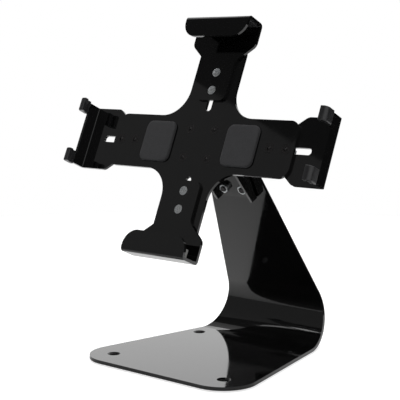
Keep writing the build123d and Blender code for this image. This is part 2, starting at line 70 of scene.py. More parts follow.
# Tilt bracket
bracket_sheet = 2.5
bracket_width = 40.0
bracket_foot_length = 36.0
bracket_foot_height = 9.0
bracket_end_inset = 2.0
bracket_mid_radius = 1.5
ear_radius = 9.0
pivot_past_end = 12.4
pivot_height = 12.0
bracket_screw_spacing = 20.0
bracket_screw_pitch = 18.0
bracket_screw_inset = 8.0

# Tilt head
barrel_radius = 8.5
neck_width = 24.0
flange_standoff = 10.0
flange_thickness = 4.0
flange_radius = 22.0
spindle_radius = 6.0
disc_thickness = 1.0
side_play = 0.05
swivel_play = 0.05
hub_radius = 25.0
hub_floor = 3.0
hub_pocket_radius = 11.0
hub_pocket_depth = 3.4
hub_bore_radius = 6.05
spring_sheet = 0.5
spring_height = 0.8
spring_radius = 9.8
swivel_nut_height = 2.2
swivel_nut_radius = 9.5
hub_screw_offset = 18.0

# Carrier
sheet = 2.4
carrier_half_width = 96.0
carrier_half_height = 88.0
carrier_bar = 48.0
carrier_inner_radius = 24.0
carrier_outer_radius = 9.0
carrier_pad_width = 32.0
carrier_pad_height = 36.0
carrier_pad_place = 44.0
carrier_pad_radius = 6.0
arm_slot_inner = 32.0
arm_slot_outer = 78.0
slot_radius = 2.8

# Folded arms and side brackets
fold_radius = 2.2  # of the middle of the sheet
fold_outer = fold_radius + sheet / 2
strap_half_width = 16.0
strap_end_radius = 6.0
shoulder_radius = 7.0
hook_half_width = 33.25
hook_drop = 18.7
hook_corner_radius = 13.5
hook_back_height = 20.0
hook_shoulder_height = 34.0
hook_strap_end = 69.0
stud_inset = 44.0
stud_pitch = 16.0
stud_head_radius = 3.9
stud_head_height = 1.2
cushion_height = 7.0
cushion_depth = 5.0
cushion_width = 62.0
liner_thickness = 1.5
side_half_height = 28.4
side_gap_half = 19.1
side_gap_radius = 1.5
side_wall_depth = 14.0
side_lip = 4.4
side_back_width = 30.0
side_shoulder_width = 46.0
side_strap_end = 78.0
side_screw_inner = 72.0
side_screw_pitch = 16.0
side_slot_inner = 62.0
side_slot_outer = 108.0
sleeve_thickness = 1.2
sleeve_fit = 0.05

# Device, layers in front of the tilt axis, and the reach of the arms
device_width = 242.8
device_height = 189.7
device_depth = 13.4
device_rise = 2.5
back_clearance = 0.3
edge_clearance = 0.3
lip_clearance = 1.6
side_edge_gap = 6.2
slide_gap = 0.1
flange_front = flange_standoff + flange_thickness
hub_rear = flange_front + disc_thickness + swivel_play
hub_pocket_floor = hub_rear + hub_floor
carrier_rear = hub_pocket_floor + hub_pocket_depth
carrier_front = carrier_rear + sheet
arm_rear = carrier_front + slide_gap
arm_front = arm_rear + sheet
side_rear = carrier_rear - slide_gap - sheet
device_back = arm_front + back_clearance
device_front = device_back + device_depth
lip_rear = device_front + lip_clearance
lip_front = lip_rear + sheet
hook_reach = device_height / 2 + edge_clearance + cushion_height + sheet
side_reach = device_width / 2 + edge_clearance + side_edge_gap + sheet

# Fasteners
small_radius = 2.5
small_pitch = 0.8
small_thread_length = 6.0
small_socket = (3.0, 1.4)  # across flats, and depth
small_nut_flats = 8.0
small_nut_height = 4.0
small_washer_radius = 5.5
small_washer_height = 1.0
small_stack = small_washer_height + small_nut_height
small_sink_radius = 4.5
small_head = (4.75, 2.75)  # radius and height
thread_end = 1.0
running_fit = 0.05
thread_fit = 0.05
seat_fit = 0.05
shank_clearance = 0.3
pivot_radius = 4.0
pivot_pitch = 1.25
pivot_thread_length = 16.0
pivot_head = (7.0, 4.4)  # radius and height
pivot_socket = (5.0, 2.6)  # across flats, and depth
pivot_nut_flats = 13.0
pivot_nut_height = 6.5
pivot_washer_radius = 8.0
pivot_washer_height = 1.2
collar_height = 1.7
collar_share = 0.93  # radius of the lock nut's collar, as a share of the hexagon's
collar_roll = ((0.0, 0.6), (0.25, 0.15), (0.9, 0.0), (1.1, 0.25))  # inwards and down from its corner
collar_overlap = 0.2
insert_drop = 0.35
insert_gap = 0.05
hub_screw_radius = 2.0
hub_sink_radius = 4.0
hub_screw_length = 7.0
hub_socket = (2.5, 1.2)  # across flats, and depth
hub_screw_pitch = 0.7
swivel_nut_slot_width = 3.0
swivel_nut_slot_depth = 2.0
thread_share = 0.08  # depth of a thread, as a share of its radius

# Rims and small forms of the dressed model
plate_rim = 0.6
mat_rim = 0.25
bracket_rim = 0.4
sheet_rim = 0.8
sleeve_rim = 0.9
cushion_rim = 0.5
cushion_radius = 0.6
liner_rim = 0.25
liner_radius = 0.3
liner_wall_radius = 0.1
hook_end_radius = 0.6
cutter_lip = 0.3
casting_edge = 0.8
casting_overlap = 1.0
spindle_chamfer = 0.6
swivel_nut_chamfer = 0.4
hub_edge = 1.0
hub_groove = 0.5
hub_chamfer = 0.2
stud_chamfer = 0.12
pad_drop = 0.8

# Tolerances in millimetres
weld_distance = 1e-5
cut_distance = 1e-4

# Steps of arcs and folds, and limits of sharp edges, in degrees
arc_step = 6.0
plate_arc_step = 3.0
hub_arc_step = 18.0
plate_fold_step = 1.5
hook_fold_step = 10.0
bracket_fold_step = 15.0
soften_angle = 30
piece_sharp = 80
socket_sharp = 50

# Places in the shared frame
joints = {joint["name"]: joint for joint in frame["joints"]}
pivot = Vector(joints["head_tilt"]["pos_m"])
front = Vector(joints["holder_rotate"]["axis"]).normalized()


def place_on(origin, facing):
    """Local millimetres to metres: X across, Z along facing."""
    x_axis, z_axis = Vector((1, 0, 0)), facing
    turn = Matrix((x_axis, z_axis.cross(x_axis), z_axis)).transposed().to_4x4()
    return Matrix.Translation(origin) @ turn @ Matrix.Scale(MM, 4)


def moved(place, x=0.0, y=0.0, z=0.0):
    return place @ Matrix.Translation((x, y, z))


def turned(place, angle, axis):
    return place @ Matrix.Rotation(radians(angle), 4, axis)


bend_length = radians(bend_angle) * bend_radius
bend_sin, bend_cos = sin(radians(bend_angle)), cos(radians(bend_angle))
foot_middle = mat_thickness + plate_thickness / 2
upright_start = (foot_depth / 2 + bend_radius * bend_sin, foot_middle + bend_radius * (1 - bend_cos))
upright_face = Vector((0, -bend_sin, bend_cos))
ground = Matrix.Scale(MM, 4)
head = place_on(pivot, front)
upright = moved(place_on(Vector((0, *upright_start)) * MM, upright_face), z=plate_thickness / 2)
upright_back = turned(moved(upright, z=-plate_thickness), 180, "X")


# Shapes, which are bmeshes in local millimetres
def arc_steps(begin, sweep, count):
    """Angles in radians from the beginning to the end of a sweep in degrees."""
    return [radians(begin + sweep * index / count) for index in range(count + 1)]


def on_circle(centre, radius, angles):
    return [(centre[0] + radius * cos(angle), centre[1] + radius * sin(angle)) for angle in angles]


def arc_points(centre, radius, begin, sweep, step=arc_step):
    return on_circle(centre, radius, arc_steps(begin, sweep, max(2, ceil(abs(sweep) / step))))


def rounded(corners, step=arc_step):
    """Outline through corners given as (x, y, radius), each with its own fillet."""
    outline = []
    for index, (x, y, radius) in enumerate(corners):
        here = Vector((x, y))
        back = (Vector(corners[index - 1][:2]) - here).normalized()
        ahead = (Vector(corners[(index + 1) % len(corners)][:2]) - here).normalized()
        if not radius:
            outline.append((x, y))
            continue
        half = back.angle(ahead) / 2
        centre = here + (back + ahead).normalized() * (radius / sin(half))
        first = here + back * (radius / tan(half)) - centre
        last = here + ahead * (radius / tan(half)) - centre
        begin = degrees(atan2(first.y, first.x))
        sweep = degrees(atan2(first.cross(last), first.dot(last)))
        outline += arc_points(centre, radius, begin, sweep, step)
    return outline


def mirrored(corners):
    """A closed outline from its right half, which runs from the low end to the high end."""
    return corners + [(-x, y, radius) for x, y, radius in reversed(corners)]


def disc(radius, centre=(0.0, 0.0), sides=48, shift=0.0):
    return on_circle(centre, radius, [2 * pi * (index + shift) / sides for index in range(sides)])


def hexagon(flats):
    return disc(flats / sqrt(3), sides=6, shift=0.5)


def rectangle(half_x, half_y):
    return [(half_x, -half_y), (half_x, half_y), (-half_x, half_y), (-half_x, -half_y)]


def slot_outline(inner, outer):
    return arc_points((0, outer), slot_radius, 0, 180) + arc_points((0, inner), slot_radius, 180, 180)


def skinned(rings, closed_ends=True):
    """Joins rings of equal length into one skin."""
    shape = bmesh.new()
    rows = [[shape.verts.new(point) for point in ring] for ring in rings]
    for low, high in zip(rows, rows[1:]):
        for index in range(len(low)):
            after = (index + 1) % len(low)
            shape.faces.new((low[index], low[after], high[after], high[index]))
    if closed_ends:
        shape.faces.new(list(reversed(rows[0])))
        shape.faces.new(rows[-1])
    return shape


def outward(shape):
    bmesh.ops.recalc_face_normals(shape, faces=shape.faces)
    return shape


def slab(outline, low, high, rim=0.0, steps=3):
    """An outline with thickness, and rims rounded to the given radius."""
    shape = skinned([[(x, y, z) for x, y in outline] for z in (low, high)])
    if rim:
        rims = [edge for edge in shape.edges if abs(edge.verts[0].co.z - edge.verts[1].co.z) < rim / 9]
        form = {"offset_type": "OFFSET", "segments": steps, "profile": 0.5, "affect": "EDGES"}
        bmesh.ops.bevel(shape, geom=rims, offset=rim, **form)
    return outward(shape)


def lathe(profile, sides=48, closed=False):
    """A profile of (radius, height) turned about Z. An open one starts and ends at its end caps."""
    rings = [[(x, y, height) for x, y in disc(radius, sides=sides)] for radius, height in profile]
    if closed:
        rings.append(rings[0])
    shape = skinned(rings, closed_ends=not closed)
    bmesh.ops.remove_doubles(shape, verts=shape.verts, dist=weld_distance)
    return outward(shape)


def hollow(profile, sides=48):
    """A profile that closes on itself, turned about Z."""
    return lathe(profile, sides, closed=True)


def rod(radius, low, high, sides=48):
    return lathe([(radius, low), (radius, high)], sides)


def capped_rod(radius, low, high, sides):
    """A rod whose ends are fans of triangles."""
    return lathe([(0, low), (radius, low), (radius, high), (0, high)], sides)


def mesh_of(shape, name="scratch"):
    """A mesh in place of a bmesh."""
    mesh = bpy.data.meshes.new(name)
    shape.to_mesh(mesh)
    shape.free()
    return mesh


def copies(shape, places):
    """The same shape at each place, as one shape."""
    template = mesh_of(shape)
    many = bmesh.new()
    for place in places:
        start = len(many.verts)
        many.from_mesh(template)
        many.verts.ensure_lookup_table()
        bmesh.ops.transform(many, matrix=place, verts=many.verts[start:])
    bpy.data.meshes.remove(template)
    return many


def spread(shape, points):
    """The same shape at each point of the XY plane."""
    return copies(shape, [Matrix.Translation((x, y, 0)) for x, y in points])


def both_ends(shape, height):
    """The shape at a height, and turned over at the opposite height."""
    far = Matrix.Translation((0, 0, -height)) @ Matrix.Rotation(pi, 4, "X")
    return copies(shape, [Matrix.Translation((0, 0, height)), far])


def together(*shapes):
    """Several shapes as one, without joining their faces."""
    whole = bmesh.new()
    for shape in shapes:
        part = mesh_of(shape)
        whole.from_mesh(part)
        bpy.data.meshes.remove(part)
    return whole


def object_of(shape, name="scratch"):
    made = bpy.data.objects.new(name, mesh_of(shape, name))
    bpy.context.collection.objects.link(made)
    return made


def evaluated(target, *helpers):
    """The shape of an object after its modifiers, in place of the object and its helpers."""
    graph = bpy.context.evaluated_depsgraph_get()
    mesh = bpy.data.meshes.new_from_object(target.evaluated_get(graph))
    result = bmesh.new()
    result.from_mesh(mesh)
    bpy.data.meshes.remove(mesh)
    for used in (target, *helpers):
        data = used.data
        bpy.data.objects.remove(used)
        bpy.data.meshes.remove(data)
    return result


def combined(shape, tools, operation="DIFFERENCE"):
    """The shape after each tool has cut it, joined it or bounded it."""
    target = object_of(shape)
    helpers = [object_of(tool) for tool in tools]
    for helper in helpers:
        step = target.modifiers.new("combine", "BOOLEAN")
        step.operation = operation
        step.solver = "EXACT"
        step.object = helper
    return evaluated(target, *helpers)


def softened(shape, width):
    """Rounds every edge that is sharper than a limit."""
    target = object_of(shape)
    bevel = target.modifiers.new("soften", "BEVEL")
    bevel.width = width
    bevel.segments = 3
    bevel.limit_method = "ANGLE"
    bevel.angle_limit = radians(soften_angle)
    return evaluated(target)


def crowned(outline, low, high, drop, seed):
    """A die-cut foam pad: a flat back, rounded rims and a face that rises and dips a little."""
    face_share, wave_share, wave_length, seed_shift = 0.9, 0.12, 7, 9
    levels = [(1.0, 0.0), (1.0, 0.55), (0.985, 0.8), (0.955, 0.93)]
    levels += [(0.91 - 0.07 * step, 0.97 + 0.03 * min(1, step / 3)) for step in range(13)]
    rings = []
    for share, rise in levels:
        ring = []
        for point in outline:
            x, y = Vector(point) * share
            wave = noise((x / wave_length + seed_shift * seed, y / wave_length, 0)) * drop * wave_share
            ring.append((x, y, low + (high - low) * rise - abs(wave * (rise > face_share))))
        rings.append(ring)
    return outward(skinned(rings))


def folded(shape, start, heading, bends, step):
    """Folds a flat blank: Y runs along it and Z is the height over its mid-surface.

    Each bend has its first station, its mid-surface radius and its angle, and turns towards +Z."""
    bend_share = 0.97  # how near a point on the inside may come to the middle of its bend
    for begin, radius, angle in bends:
        count = ceil(angle / step)
        for index in range(count + 1):
            station = begin + radius * radians(angle) * index / count
            everything = list(shape.verts) + list(shape.edges) + list(shape.faces)
            plane = {"plane_co": (0, station, 0), "plane_no": (0, 1, 0)}
            bmesh.ops.bisect_plane(shape, geom=everything, dist=cut_distance, **plane)
    for vert in shape.verts:
        across, along, height = vert.co
        at, turn, station = Vector(start), radians(heading), 0.0
        reach = None
        for begin, radius, angle in bends:
            if along <= begin:
                break
            at += Vector((cos(turn), sin(turn))) * (begin - station)
            swept = min((along - begin) / radius, radians(angle))
            centre = at + Vector((-sin(turn), cos(turn))) * radius
            turn += swept
            at = centre - Vector((-sin(turn), cos(turn))) * radius
            station = begin + radius * swept
            if swept < radians(angle):
                reach = radius
        height = min(height, bend_share * reach) if reach else height
        at += Vector((cos(turn), sin(turn))) * (along - station)
        at += Vector((-sin(turn), cos(turn))) * height
        vert.co = (across, at.x, at.y)
    return shape


# Materials
def fed(tree, made, inputs):
    """The node, with each of the given inputs set to its value or linked to its socket."""
    for key, value in inputs.items():
        if isinstance(value, bpy.types.NodeSocket):
            tree.links.new(value, made.inputs[key])
        else:
            made.inputs[key].default_value = value
    return made


def node(tree, kind, inputs=None, **settings):
    made = tree.nodes.new("ShaderNode" + kind)
    for key, value in settings.items():
        setattr(made, key, value)
    return fed(tree, made, inputs or {})


def texture(tree, kind, scale, stretch=(1, 1, 1), **inputs):
    """A procedural texture in the piece's own metres; scale is in features per metre."""
    where = node(tree, "TexCoord").outputs["Object"]
    mapped = node(tree, "Mapping", {"Vector": where, "Scale": stretch}).outputs["Vector"]
    return node(tree, kind, {"Vector": mapped, "Scale": scale, **inputs}).outputs


def cloud(tree, scale, detail, roughness=0.5, stretch=(1, 1, 1)):
    return texture(tree, "TexNoise", scale, stretch, Detail=detail, Roughness=roughness)["Fac"]


def ranged(tree, source, low, high, to_low, to_high):
    ends = {"From Min": low, "From Max": high, "To Min": to_low, "To Max": to_high}
    return node(tree, "MapRange", {"Value": source, **ends}).outputs["Result"]


def calculated(tree, operation, first, second):
    return node(tree, "Math", {0: first, 1: second}, operation=operation).outputs[0]


def blended(tree, factor, dark, light):
    inputs = {"Factor": factor, "A": (*dark, 1), "B": (*light, 1)}
    return node(tree, "Mix", inputs, data_type="RGBA").outputs["Result"]


def bumped(tree, height, distance, strength, under=None):
    inputs = {"Height": height, "Distance": distance * MM, "Strength": strength}
    if under:
        inputs["Normal"] = under
    return node(tree, "Bump", inputs).outputs["Normal"]


def shader_of(name, slot, colour, roughness, metallic=0.0):
    made = bpy.data.materials.new(name)
    made.use_nodes = True
    made["slot"] = slot
    tree = made.node_tree
    plain = {"Base Color": (*colour, 1), "Roughness": roughness, "Metallic": metallic}
    return made, tree, fed(tree, tree.nodes["Principled BSDF"], plain)


def gloss_paint():
    """Gloss black powder coat: a faint orange peel under a clear, slightly dusty surface, and painted
    shade in the desk holes, where it reflects less.
    """
    black, dust_grey = (0.0018, 0.0018, 0.0019), (0.007, 0.007, 0.007)
    made, tree, shader = shader_of("gloss_black_paint", "black_steel", black, 0.1)
    speck = cloud(tree, 2600, 1.0)
    dust = ranged(tree, speck, 0.66, 0.74, 0.0, 0.5)
    smears = ranged(tree, cloud(tree, 38, 4.0, 0.6), 0.35, 0.7, 0.04, 0.09)
    # Painted shade: this attribute lowers the paint's reflection in the desk holes, standing for the
    # shade inside them.
    painted_hole_shade = node(tree, "Attribute", attribute_name="painted_hole_shade").outputs["Fac"]
    varied = {
        "IOR": 1.5,
        "Base Color": blended(tree, dust, black, dust_grey),
        "Roughness": calculated(tree, "ADD", smears, ranged(tree, speck, 0.68, 0.75, 0.0, 0.12)),
        "Specular IOR Level": ranged(tree, painted_hole_shade, 0, 1, 0.5, 0.03),
        "Normal": bumped(tree, cloud(tree, 420, 2.0, 0.4), 0.01, 0.35),
    }
    fed(tree, shader, varied)
    return made


def finish(
    name, slot, colour, roughness, tints, patches, bump,
    rough=None, rough_noise=None, bump_noise=None, metallic=0.0,
):
    """A finish that varies in patches, and whose roughness and bump may have a noise of their own.

    A noise is (scale, detail, roughness, stretch), and a bump is (distance, strength)."""
    made, tree, shader = shader_of(name, slot, colour, roughness, metallic)
    varied = {"Base Color": blended(tree, cloud(tree, *patches), *tints)}
    if rough:
        varied["Roughness"] = ranged(tree, cloud(tree, *(rough_noise or patches)), 0.3, 0.7, *rough)
    varied["Normal"] = bumped(tree, cloud(tree, *(bump_noise or patches)), *bump)
    fed(tree, shader, varied)
    return made


def rubber(name, slot, dark, light, roughness, scale, depth):
    rough = (roughness - 0.08, roughness + 0.08)
    pores, bump = (scale, 4.0, 0.65), (depth, 0.6)
    return finish(name, slot, dark, roughness, (dark, light), pores, bump, rough)


def cell_foam():
    """Closed-cell foam: small pits of uneven size, each painted darker towards its middle as shade."""
    made, tree, shader = shader_of("cell_foam", "foam", (0.05, 0.05, 0.052), 0.9)
    pit_depth_and_shade = ranged(tree, texture(tree, "TexVoronoi", 1400)["Distance"], 0.1, 0.5, 0.0, 1.0)
    # Painted shade: the colour darkens towards the middle of each pit, where the bump sinks it.
    grey = blended(tree, pit_depth_and_shade, (0.012, 0.012, 0.013), (0.036, 0.036, 0.038))
    swell = bumped(tree, cloud(tree, 120, 3.0), 0.3, 0.3)
    fed(tree, shader, {"Base Color": grey, "Normal": bumped(tree, pit_depth_and_shade, 0.25, 0.7, swell)})
    return made


paint = gloss_paint()
casting = finish(
    "satin_black_casting", "black_casting", (0.014, 0.014, 0.015), 0.42,
    tints=((0.01, 0.01, 0.011), (0.021, 0.021, 0.022)), patches=(90, 3.0), rough=(0.34, 0.5),
    bump_noise=(1500, 3.0, 0.6), bump=(0.06, 0.5),
)
oxide = finish(
    "black_oxide", "black_screws", (0.028, 0.028, 0.031), 0.32, metallic=0.85,
    tints=((0.018, 0.018, 0.021), (0.05, 0.047, 0.045)), patches=(700, 4.0), rough=(0.24, 0.42),
    bump=(0.015, 0.4),
)
scratches = (900, 2.0, 0.5, (1, 6, 1))
zinc = finish(
    "zinc_plate", "zinc_hardware", (0.58, 0.6, 0.62), 0.28, metallic=1.0,
    tints=((0.46, 0.5, 0.55), (0.68, 0.68, 0.65)), patches=(260, 5.0, 0.6), rough=(0.2, 0.4),
    rough_noise=scratches, bump_noise=scratches, bump=(0.012, 0.4),
)
temper = finish(
    "spring_temper", "spring_steel", (0.3, 0.29, 0.28), 0.3, metallic=1.0,
    tints=((0.22, 0.22, 0.25), (0.4, 0.36, 0.3)), patches=(300, 3.0), bump=(0.01, 0.4),
)
nylon = finish(
    "natural_nylon", "nylon", (0.62, 0.6, 0.53), 0.42,
    tints=((0.56, 0.54, 0.47), (0.68, 0.66, 0.6)), patches=(220, 3.0), bump=(0.03, 0.3),
)
nylon_glow = {"Subsurface Weight": 0.15, "Subsurface Radius": (MM, MM, 0.8 * MM)}
fed(nylon.node_tree, nylon.node_tree.nodes["Principled BSDF"], nylon_glow)
dark_rubber, sleeve_vinyl, pale_rubber = [
    rubber(*look)
    for look in (
        ("dark_rubber", "black_rubber", (0.012, 0.012, 0.013), (0.03, 0.03, 0.031), 0.55, 1300, 0.06),
        ("sleeve_vinyl", "black_rubber", (0.009, 0.009, 0.01), (0.016, 0.016, 0.017), 0.38, 500, 0.03),
        ("pale_rubber", "grey_rubber", (0.17, 0.17, 0.165), (0.25, 0.25, 0.24), 0.7, 900, 0.08),
    )
]
foam = cell_foam()


def piece(name, shape, place, material, body, *nodes, sharp=piece_sharp):
    """A finished piece on its body, which stands for the given nodes."""
    shape.transform(place)
    for face in outward(shape).faces:
        face.smooth = True
    for edge in shape.edges:
        edge.smooth = edge.calc_face_angle(0) < radians(sharp)
    made = object_of(shape, name)
    made.data.materials.append(material)
    weighted = made.modifiers.new("flat_faces_stay_flat", "WEIGHTED_NORMAL")
    weighted.keep_sharp = True
    weighted.weight = 80
    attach(made, body)
    if nodes:
        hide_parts(*nodes)
    return made


# Foot, bend and upright
developed_length = foot_depth + bend_length + upright_length


def plate_half_width(along):
    return (foot_front_width - (foot_front_width - upright_top_width) * along / developed_length) / 2


def hole_cutter(radius, height, sink_radius=0.0):
    """Cuts down from a face at the given height, with a countersink and a softened lower rim."""
    lip = cutter_lip
    low = [(radius + 2 * lip, -height - lip), (radius, -height + lip)]
    if sink_radius:
        high = [(radius, height - sink_radius + radius), (sink_radius, height)]
        high.append((sink_radius + lip, height + lip))
    else:
        high = [(radius, height - lip), (radius + 2 * lip, height + lip)]
    return lathe(low + high, sides=40)


desk_holes = [
    (side * (plate_half_width(along) - inset), along)
    for along, inset in (
        (front_hole_inset, front_hole_side_inset), (foot_depth - rear_hole_inset, rear_hole_side_inset)
    )
    for side in (-1, 1)
]
bracket_top = upright_length - bracket_end_inset
bracket_screw_y = bracket_top - bracket_screw_inset - bracket_screw_pitch / 2
bracket_holes = [
    (x * bracket_screw_spacing / 2, bracket_screw_y + y * bracket_screw_pitch / 2)
    for x in (-1, 1)
    for y in (-1, 1)
]
plate_corners = [
    (plate_half_width(0), 0, foot_corner_radius),
    (plate_half_width(developed_length), developed_length, upright_corner_radius),
]
plate_outline = rounded(mirrored(plate_corners), plate_arc_step)
plate_blank = slab(plate_outline, -plate_thickness / 2, plate_thickness / 2, plate_rim, steps=4)
plate_cutters = [
    spread(hole_cutter(desk_hole_radius, plate_thickness / 2, desk_sink_radius), desk_holes),
    spread(
        hole_cutter(slot_radius, plate_thickness / 2),
        [(x, foot_depth + bend_length + y) for x, y in bracket_holes],
    ),
]
plate_bends = [(foot_depth, bend_radius, bend_angle)]
stand_shape = folded(
    combined(plate_blank, plate_cutters), (-foot_depth / 2, foot_middle), 0, plate_bends, plate_fold_step
)


def in_desk_hole(face):
    at = face.calc_center_median()
    return any(hypot(at.x - x, at.y + foot_depth / 2 - y) < desk_sink_radius for x, y in desk_holes)


# Painted shade: the paint reflects less in the desk holes, and least on their upright walls, standing for
# the shade inside them
flat_share = 0.9
sink_shade_level = 0.8
stand_shape.normal_update()
hole_shade_layer = stand_shape.faces.layers.float.new("painted_hole_shade")
for face in stand_shape.faces:
    level = abs(face.normal.z)
    if level < flat_share and in_desk_hole(face):
        face[hole_shade_layer] = sink_shade_level if level > 1 - flat_share else 1
piece("stand_sheet", stand_shape, ground, paint, "stand", "stand_plate")

# Mat under the foot
plate_slope = (foot_front_width - upright_top_width) / 2 / developed_length
mat_side_inset = mat_inset * sqrt(1 + plate_slope**2)
mat_corner_radius = foot_corner_radius - mat_inset
mat_end = foot_depth - mat_inset
mat_corners = [
    (plate_half_width(mat_inset) - mat_side_inset, mat_inset - foot_depth / 2, mat_corner_radius),
    (plate_half_width(mat_end) - mat_side_inset, foot_depth / 2 - mat_inset, 0),
]
mat_shape = slab(rounded(mirrored(mat_corners)), 0, mat_thickness, mat_rim)
mat_bore = rod(mat_hole_radius, -mat_thickness, 2 * mat_thickness)
mat_holes = spread(mat_bore, [(x, y - foot_depth / 2) for x, y in desk_holes])
piece("mat", combined(mat_shape, [mat_holes]), ground, dark_rubber, "stand", "base_mat")

# Tilt bracket, folded from a blank whose ears are the hull of their foot and their round end
ear_middle = bracket_width / 2 - bracket_sheet / 2
bracket_bend_start = bracket_sheet / 2 + bracket_mid_radius
bracket_web = 2 * (ear_middle - bracket_mid_radius)
ear_height = pivot_height + ear_radius
ear_length = ear_height - bracket_bend_start
web_start = ear_length + bracket_mid_radius * pi / 2
bracket_length = 2 * web_start + bracket_web
pivot_along = upright_length + pivot_past_end
bracket_foot = bracket_top - bracket_foot_length
ear_points = disc(ear_radius, (pivot_along, pivot_height), sides=72)
ear_points += [(bracket_foot, 0), (bracket_foot, bracket_foot_height), (bracket_top, 0)]
ear_hull = [ear_points[index] for index in convex_hull_2d([Vector(point) for point in ear_points])]
lowest = ear_hull.index((bracket_top, 0))
ear_hull = ear_hull[lowest + 1 :] + ear_hull[:lowest]
ear_outline = [(-y, ear_height - z) for y, z in ear_hull if z > bracket_bend_start]
near_outline = [(-bracket_top, web_start), (-pivot_along, ear_length), *ear_outline]
near_outline.append((-bracket_foot, web_start))
bracket_outline = near_outline + [(x, bracket_length - y) for x, y in reversed(near_outline)]
bracket_blank = slab(bracket_outline, -bracket_sheet / 2, bracket_sheet / 2, bracket_rim)
bracket_cutters = [
    spread(
        hole_cutter(pivot_radius + running_fit, bracket_sheet / 2),
        [(-pivot_along, along) for along in (ear_radius, bracket_length - ear_radius)],
    ),
    spread(
        hole_cutter(slot_radius, bracket_sheet / 2),
        [(-y, bracket_length / 2 + x) for x, y in bracket_holes],
    ),
]
bracket_bends = [(begin, bracket_mid_radius, 90) for begin in (ear_length, web_start + bracket_web)]
bracket_start = (-ear_middle, ear_height)
bracket_shape = folded(
    combined(bracket_blank, bracket_cutters), bracket_start, -90, bracket_bends, bracket_fold_step
)
piece("tilt_bracket", bracket_shape, turned(upright, -90, "Z"), paint, "stand", "pivot_bracket")


# Fasteners
def thread(radius, low, high, pitch):
    """Shank with a helical thread between two heights, as a height field on a cylinder."""
    sides, per_turn = 28, 6
    count = ceil((high - low) / pitch * per_turn)
    rings = []
    for level in range(count + 1):
        height = low + (high - low) * level / count
        fade = min(1.0, min(height - low, high - height) / pitch)
        ring = []
        for side in range(sides):
            turn = side / sides
            ridge = 0.5 + 0.5 * cos(2 * pi * (height / pitch - turn))
            here = radius * (1 - thread_share * (1 - ridge * fade))
            ring.append((here * cos(2 * pi * turn), here * sin(2 * pi * turn), height))
        rings.append(ring)
    return skinned(rings)


def socket_cutter(flats, depth, top):
    """Hexagon socket with a cone at its bottom and a small lead-in."""
    lead_share, cone_share = 1.16, 0.2
    lead_depth, lead_inset, lead_overlap = 0.35, 0.2, 0.02
    cone_inset, cone_overlap = 0.05, 0.01
    half, bottom = flats / 2, top - depth
    cone = [(0, bottom - cone_share * flats), (half - cone_inset, bottom + cone_overlap)]
    lead = [(half - lead_inset, top - lead_depth), (half * lead_share, top + lead_overlap)]
    cutters = [lathe(profile, sides=36) for profile in (cone, lead)]
    return combined(slab(hexagon(flats), bottom, top + depth), cutters, "UNION")


def button_screw(radius, length, head_size, socket, pitch, thread_length):
    """Domed head with a hexagon socket, a plain shank and a thread."""
    head, height = head_size
    skirt, foot_inset, shank_overlap, top_share, steps = 0.25, 0.1, 0.2, 1.3, 8
    flat_top = socket[0] / 2 * top_share
    dome = [(radius - foot_inset, 0.0), (head - skirt, 0.0), (head, skirt)]
    for step in range(1, steps + 1):
        angle = pi / 2 * step / steps
        dome.append((flat_top + (head - flat_top) * cos(angle), skirt + (height - skirt) * sin(angle)))
    cap = lathe([(0, 0), *dome, (0, height)])
    return together(
        combined(cap, [socket_cutter(*socket, height)]),
        rod(radius, shank_overlap, thread_length - length, sides=32),
        thread(radius, -length, thread_length - length, pitch),
    )


def flat_screw(radius, length, head, socket, pitch):
    """Countersunk head with a hexagon socket, flush with its seat, and a threaded shank."""
    core_share, core_depth_share, mouth_share, edge = 0.7, 0.3, 0.65, 0.15
    neck = radius - head
    core, core_end = core_share * radius, neck - core_depth_share * radius
    low = [(0, core_end), (core, core_end), (core, neck), (radius, neck)]
    high = [(head, -edge), (head - edge / 2, 0), (mouth_share * socket[0], 0), (0, 0)]
    cap = combined(lathe(low + high), [socket_cutter(*socket, 0)])
    return together(cap, thread(radius, -length, neck, pitch))


def hex_nut(flats, height, radius):
    """Hexagon nut with its corners turned off at the ends and a chamfered bore."""
    face_share, lead_share, chamfer_angle, margin = 0.96, 0.16, 30, 0.01
    corner, face = flats / sqrt(3), flats / 2 * face_share
    drop = (corner - flats / 2) * tan(radians(chamfer_angle))
    half_profile = [(0, 0), (face, 0), (corner, drop)]
    far_half = [(wide, height - low) for wide, low in reversed(half_profile)]
    bounds = lathe(half_profile + far_half, sides=72)
    lead = radius * lead_share
    lead_in = [(radius + 2 * lead, -lead), (radius, lead)]
    bore = lathe(lead_in + [(wide, height - low) for wide, low in reversed(lead_in)])
    turned_down = combined(slab(hexagon(flats), -margin, height + margin), [bounds], "INTERSECT")
    return combined(turned_down, [bore])


def small_nut():
    return hex_nut(small_nut_flats, small_nut_height, small_radius + thread_fit)


def washer(outer, inner, thickness):
    """Stamped washer: one face rolled over, the other with a fine edge."""
    roll_share, edge_share = 0.3, 0.1
    roll, edge = roll_share * thickness, edge_share * thickness
    profile = [
        (inner, edge), (inner, thickness - roll), (inner + roll, thickness), (outer - roll, thickness),
        (outer - roll / 3, thickness - roll / 3), (outer, thickness - roll), (outer, edge),
        (outer - edge, 0), (inner + edge, 0),
    ]
    return hollow(profile)


def clamped(name, kind, owner, points, place, rear, body):
    """Small washers behind a sheet whose rear lies at a height, and the nuts behind them."""
    washers = spread(
        washer(small_washer_radius, small_radius + shank_clearance, small_washer_height), points
    )
    washer_place = moved(place, z=rear - small_washer_height)
    nut_place = moved(place, z=rear - small_stack)
    piece(f"{name}_washer_{kind}", washers, washer_place, zinc, body, f"{owner}_washers")
    piece(f"{name}_nut_{kind}", spread(small_nut(), points), nut_place, zinc, body, f"{owner}_nuts")


